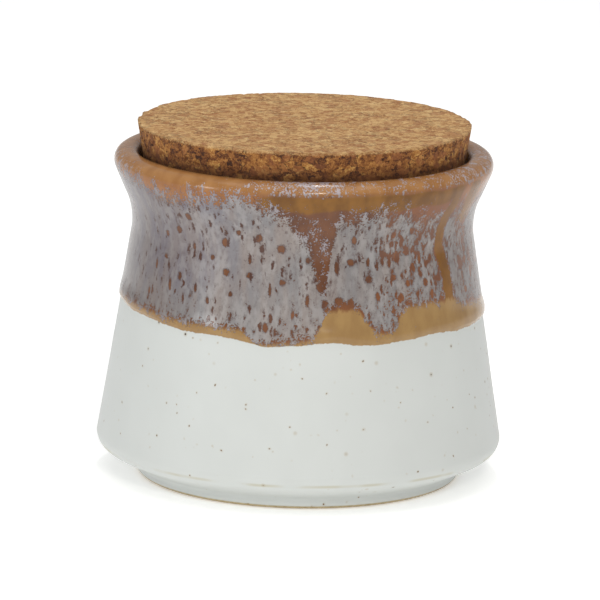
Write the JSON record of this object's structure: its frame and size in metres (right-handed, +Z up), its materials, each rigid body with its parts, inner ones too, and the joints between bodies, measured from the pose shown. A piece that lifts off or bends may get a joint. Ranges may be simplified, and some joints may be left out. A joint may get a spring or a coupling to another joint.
{
  "type": "lidded jar",
  "caption": "Squat stoneware storage jar with a leaning wall, a waisted neck, a rounded lip and a tapered cork stopper.",
  "frame": {"origin": "centre of the foot's underside, on the jar's axis", "axes": "+Z up along the jar's axis; X and Y are level"},
  "size_m": [0.1162, 0.1162, 0.1022],
  "materials": {
    "stoneware": "satin glaze",
    "cork": "bare agglomerated cork"
  },
  "bodies": {
    "root": {"jar": "stoneware", "cork_stopper": "cork"}
  },
  "joints": []
}
